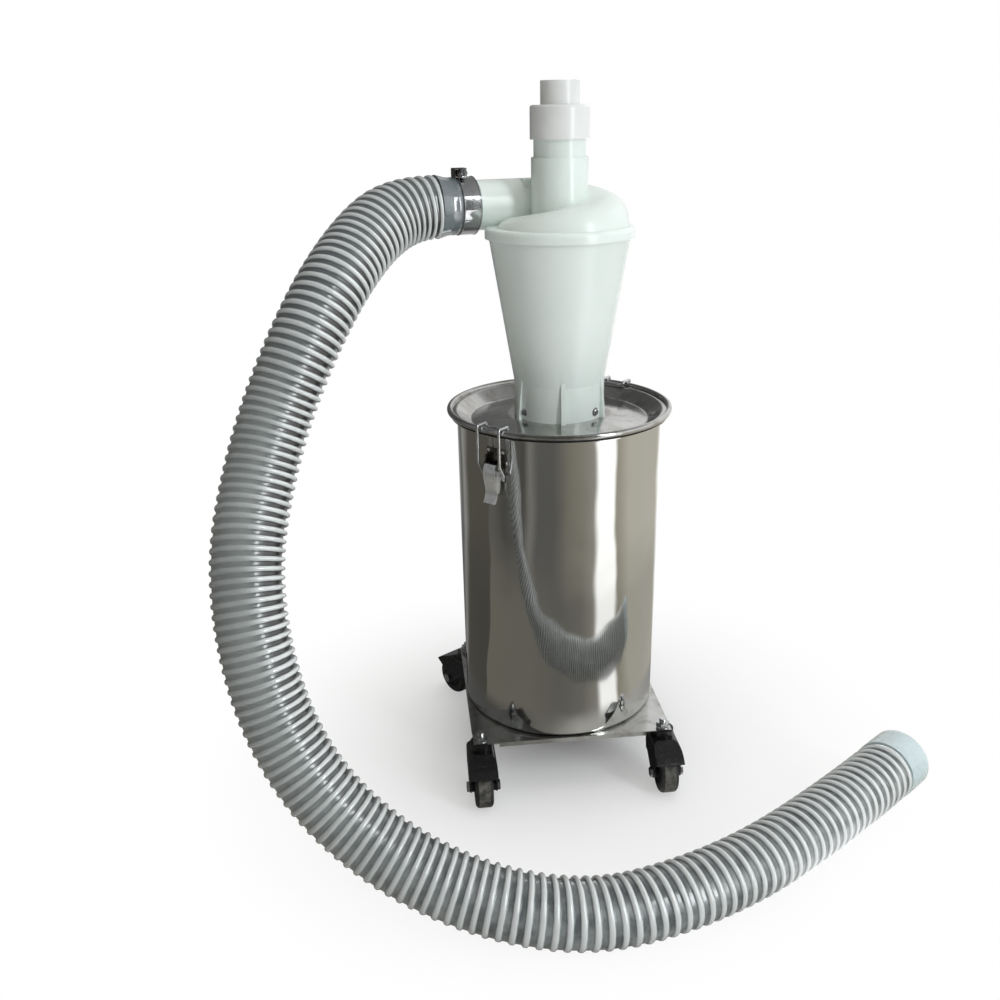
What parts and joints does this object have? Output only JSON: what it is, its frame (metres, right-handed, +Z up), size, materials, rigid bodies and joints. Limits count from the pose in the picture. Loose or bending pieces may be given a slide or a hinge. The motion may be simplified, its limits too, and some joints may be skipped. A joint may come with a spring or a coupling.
{
  "type": "mobile cyclone dust separator",
  "caption": "Mobile cyclone dust separator: a moulded cyclone with spiral roof and side inlet on the lid of a stainless drum, on a castor plate, with a ribbed suction hose.",
  "frame": {"origin": "on the floor, on the axis of the drum", "axes": "+Z up, -Y to the front, +X to the right"},
  "size_m": [0.9666, 0.6962, 0.97],
  "materials": {
    "stainless": "polished stainless sheet",
    "rubber": "black rubber",
    "polypropylene": "translucent white moulding",
    "pvc": "white pipe plastic",
    "hose": "grey hose with white ribs",
    "zinc": "bright zinc plate",
    "castor_black": "black pressed steel",
    "castor_wheel": "black nylon",
    "tyre": "dark grey rubber tread"
  },
  "bodies": {
    "stand": {"base_plate": "stainless", "drum_shell": "stainless", "drum_bottom": "stainless", "lid_gasket": "rubber", "drum_lid": "stainless", "cyclone_cone": "polypropylene", "cyclone_head": "polypropylene", "outlet_coupling": "pvc", "outlet_pipe": "pvc", "clamp_band": "zinc", "clamp_housing": "zinc", "clamp_screw": "zinc", "hose_inlet_cuff": "hose", "suction_hose": "hose", "hose_end_cuff": "hose", "castor_stem_front_left": "zinc", "castor_stem_front_right": "zinc", "castor_stem_rear_left": "zinc", "castor_stem_rear_right": "zinc", "latch_bracket_front": "zinc", "latch_bracket_rear": "zinc"},
    "swivel_front_left": {"castor_fork_front_left": "castor_black", "castor_axle_front_left": "zinc"},
    "wheel_front_left": {"castor_hub_front_left": "castor_wheel", "castor_tyre_front_left": "tyre"},
    "swivel_front_right": {"castor_fork_front_right": "castor_black", "castor_axle_front_right": "zinc"},
    "wheel_front_right": {"castor_hub_front_right": "castor_wheel", "castor_tyre_front_right": "tyre"},
    "swivel_rear_left": {"castor_fork_rear_left": "castor_black", "castor_axle_rear_left": "zinc"},
    "wheel_rear_left": {"castor_hub_rear_left": "castor_wheel", "castor_tyre_rear_left": "tyre"},
    "swivel_rear_right": {"castor_fork_rear_right": "castor_black", "castor_axle_rear_right": "zinc"},
    "wheel_rear_right": {"castor_hub_rear_right": "castor_wheel", "castor_tyre_rear_right": "tyre"},
    "lever_front": {"latch_lever_front": "zinc"},
    "bail_front": {"latch_bail_front": "zinc"},
    "lever_rear": {"latch_lever_rear": "zinc"},
    "bail_rear": {"latch_bail_rear": "zinc"}
  },
  "joints": [
    {"name": "castor_swivel_front_left", "type": "hinge", "parent": "stand", "child": "swivel_front_left", "pos_m": [-0.136, -0.136, 0.075], "axis": [0, 0, 1], "continuous": true},
    {"name": "wheel_spin_front_left", "type": "hinge", "parent": "swivel_front_left", "child": "wheel_front_left", "pos_m": [-0.136, -0.166, 0.0315], "axis": [1, 0, 0], "continuous": true},
    {"name": "castor_swivel_front_right", "type": "hinge", "parent": "stand", "child": "swivel_front_right", "pos_m": [0.136, -0.136, 0.075], "axis": [0, 0, 1], "continuous": true},
    {"name": "wheel_spin_front_right", "type": "hinge", "parent": "swivel_front_right", "child": "wheel_front_right", "pos_m": [0.136, -0.166, 0.0315], "axis": [1, 0, 0], "continuous": true},
    {"name": "castor_swivel_rear_left", "type": "hinge", "parent": "stand", "child": "swivel_rear_left", "pos_m": [-0.136, 0.136, 0.075], "axis": [0, 0, 1], "continuous": true},
    {"name": "wheel_spin_rear_left", "type": "hinge", "parent": "swivel_rear_left", "child": "wheel_rear_left", "pos_m": [-0.15321, 0.16057, 0.0315], "axis": [-0.8192, -0.5736, 0], "continuous": true},
    {"name": "castor_swivel_rear_right", "type": "hinge", "parent": "stand", "child": "swivel_rear_right", "pos_m": [0.136, 0.136, 0.075], "axis": [0, 0, 1], "continuous": true},
    {"name": "wheel_spin_rear_right", "type": "hinge", "parent": "swivel_rear_right", "child": "wheel_rear_right", "pos_m": [0.15321, 0.16057, 0.0315], "axis": [-0.8192, 0.5736, 0], "continuous": true},
    {"name": "latch_lever_front", "type": "hinge", "parent": "stand", "child": "lever_front", "pos_m": [-0.10733, -0.11114, 0.502], "axis": [-0.7193, 0.6947, 0], "range_deg": [0, 130]},
    {"name": "latch_bail_front", "type": "hinge", "parent": "lever_front", "child": "bail_front", "pos_m": [-0.10524, -0.10898, 0.4885], "axis": [-0.7193, 0.6947, 0], "range_deg": [-116, 0]},
    {"name": "latch_lever_rear", "type": "hinge", "parent": "stand", "child": "lever_rear", "pos_m": [0.10733, 0.11114, 0.502], "axis": [0.7193, -0.6947, 0], "range_deg": [0, 130]},
    {"name": "latch_bail_rear", "type": "hinge", "parent": "lever_rear", "child": "bail_rear", "pos_m": [0.10524, 0.10898, 0.4885], "axis": [0.7193, -0.6947, 0], "range_deg": [-116, 0]}
  ],
  "couplings": [
    {"joint": "latch_bail_front", "follows": "latch_lever_front", "ratio": -0.89},
    {"joint": "latch_bail_rear", "follows": "latch_lever_rear", "ratio": -0.89}
  ]
}
